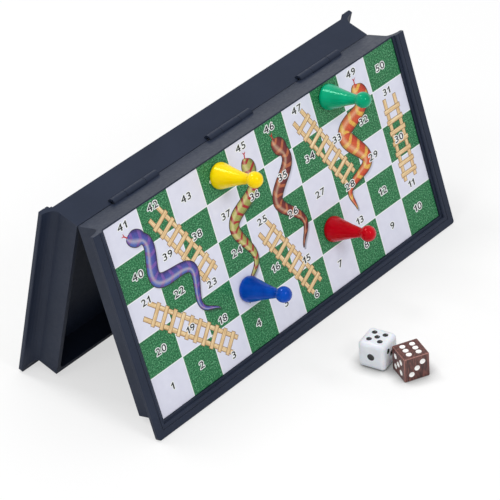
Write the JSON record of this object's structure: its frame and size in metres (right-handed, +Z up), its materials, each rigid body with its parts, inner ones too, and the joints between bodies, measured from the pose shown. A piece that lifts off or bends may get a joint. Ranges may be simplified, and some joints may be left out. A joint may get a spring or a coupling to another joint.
{
  "type": "folding snakes and ladders board",
  "caption": "Magnetic travel snakes and ladders: two hinged hollow half cases standing as a tent with a printed face on each, cone pawns on the front and loose dice.",
  "frame": {"origin": "on the table, straight below the middle of the hinge line", "axes": "+X along the ridge with the numbered front half facing -Y, +Z up from the table"},
  "size_m": [0.2, 0.1448, 0.0952],
  "materials": {
    "case_plastic": "satin moulded plastic, dark navy grey",
    "plate_steel": "plain rolled sheet",
    "printed_sheet": "satin printed vinyl, white and grass green squares",
    "pin_steel": "drawn wire",
    "yellow_plastic": "gloss moulded",
    "green_plastic": "gloss moulded",
    "red_plastic": "gloss moulded",
    "blue_plastic": "gloss moulded",
    "magnet": "sintered disc",
    "die_white": "polished, black painted pips",
    "die_wood": "dark stained wood, white painted pips"
  },
  "bodies": {
    "front_half": {"front_shell": "case_plastic", "front_steel_plate": "plate_steel", "front_play_sheet": "printed_sheet", "hinge_pin_left": "pin_steel", "hinge_pin_middle": "pin_steel", "hinge_pin_right": "pin_steel"},
    "back_half": {"back_shell": "case_plastic", "back_steel_plate": "plate_steel", "back_play_sheet": "printed_sheet"},
    "yellow_pawn": {"yellow_pawn": "yellow_plastic", "yellow_pawn_magnet": "magnet"},
    "green_pawn": {"green_pawn": "green_plastic", "green_pawn_magnet": "magnet"},
    "red_pawn": {"red_pawn": "red_plastic", "red_pawn_magnet": "magnet"},
    "blue_pawn": {"blue_pawn": "blue_plastic", "blue_pawn_magnet": "magnet"},
    "white_die": {"white_die": "die_white"},
    "brown_die": {"brown_die": "die_wood"}
  },
  "joints": [
    {"name": "fold", "type": "hinge", "parent": "front_half", "child": "back_half", "pos_m": [0, 0, 0.08919], "axis": [1, 0, 0], "range_deg": [-31.2, 148.8]},
    {"name": "yellow_pawn_lift", "type": "slide", "parent": "front_half", "child": "yellow_pawn", "axis": [0, -0.9632, 0.2689], "range_m": [0, 0.04]},
    {"name": "green_pawn_lift", "type": "slide", "parent": "front_half", "child": "green_pawn", "axis": [0, -0.9632, 0.2689], "range_m": [0, 0.04]},
    {"name": "red_pawn_lift", "type": "slide", "parent": "front_half", "child": "red_pawn", "axis": [0, -0.9632, 0.2689], "range_m": [0, 0.04]},
    {"name": "blue_pawn_lift", "type": "slide", "parent": "front_half", "child": "blue_pawn", "axis": [0, -0.9632, 0.2689], "range_m": [0, 0.04]},
    {"name": "white_die_lift", "type": "slide", "parent": "front_half", "child": "white_die", "axis": [0, 0, 1], "range_m": [0, 0.05]},
    {"name": "brown_die_lift", "type": "slide", "parent": "front_half", "child": "brown_die", "axis": [0, 0, 1], "range_m": [0, 0.05]}
  ]
}
